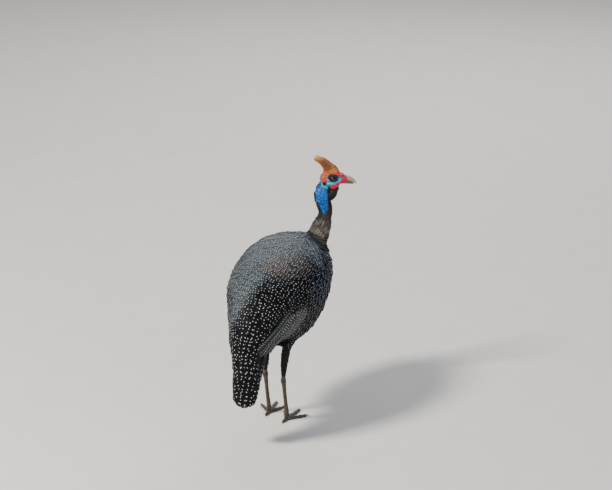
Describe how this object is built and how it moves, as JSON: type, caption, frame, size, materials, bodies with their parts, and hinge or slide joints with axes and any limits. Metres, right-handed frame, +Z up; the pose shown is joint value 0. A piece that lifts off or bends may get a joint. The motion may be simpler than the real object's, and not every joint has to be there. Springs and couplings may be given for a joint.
{
  "type": "guinea fowl",
  "caption": "Helmeted guinea fowl standing still with its head turned to the right: spotted dark body, drooping tail, bare blue neck, red wattles and a horny casque.",
  "frame": {"origin": "on the floor, under the middle of the bounding box", "axes": "+Z up, the body faces -Y with its left side on +X, and the head is turned to the right, towards -X"},
  "size_m": [0.163, 0.3514, 0.439],
  "materials": {
    "plumage": "overlapping body feathers, dark grey to black with white spots",
    "flight": "wing and tail feathers, black-brown with white spots and bars",
    "collar": "short soft neck feathers, grey-brown and finely streaked",
    "neck_skin": "bare wrinkled blue skin",
    "face_skin": "bare turquoise skin with red over the bill and brow",
    "red_skin": "smooth fleshy red",
    "horn": "dull orange-brown horn, rubbed pale at the tip",
    "bill": "smooth horn, grey-pink with a pale tip",
    "eye": "wet and glossy, dark brown",
    "leg": "dark grey-brown scales",
    "claw": "dark worn horn"
  },
  "bodies": {
    "root": {"trunk": "plumage", "thigh_left": "plumage", "thigh_right": "plumage", "wing_left": "flight", "wing_right": "flight", "tail": "flight", "neck_collar": "collar", "neck_bare": "neck_skin", "head": "face_skin", "casque": "horn", "bill_upper": "bill", "bill_lower": "bill", "eye_left": "eye", "eye_right": "eye", "wattle_left": "red_skin", "wattle_right": "red_skin", "shank_left": "leg", "shank_right": "leg", "toe_left_middle": "leg", "toe_left_inner": "leg", "toe_left_outer": "leg", "toe_left_hind": "leg", "toe_right_middle": "leg", "toe_right_inner": "leg", "toe_right_outer": "leg", "toe_right_hind": "leg", "claw_left_middle": "claw", "claw_left_inner": "claw", "claw_left_outer": "claw", "claw_left_hind": "claw", "claw_right_middle": "claw", "claw_right_inner": "claw", "claw_right_outer": "claw", "claw_right_hind": "claw"}
  },
  "joints": []
}
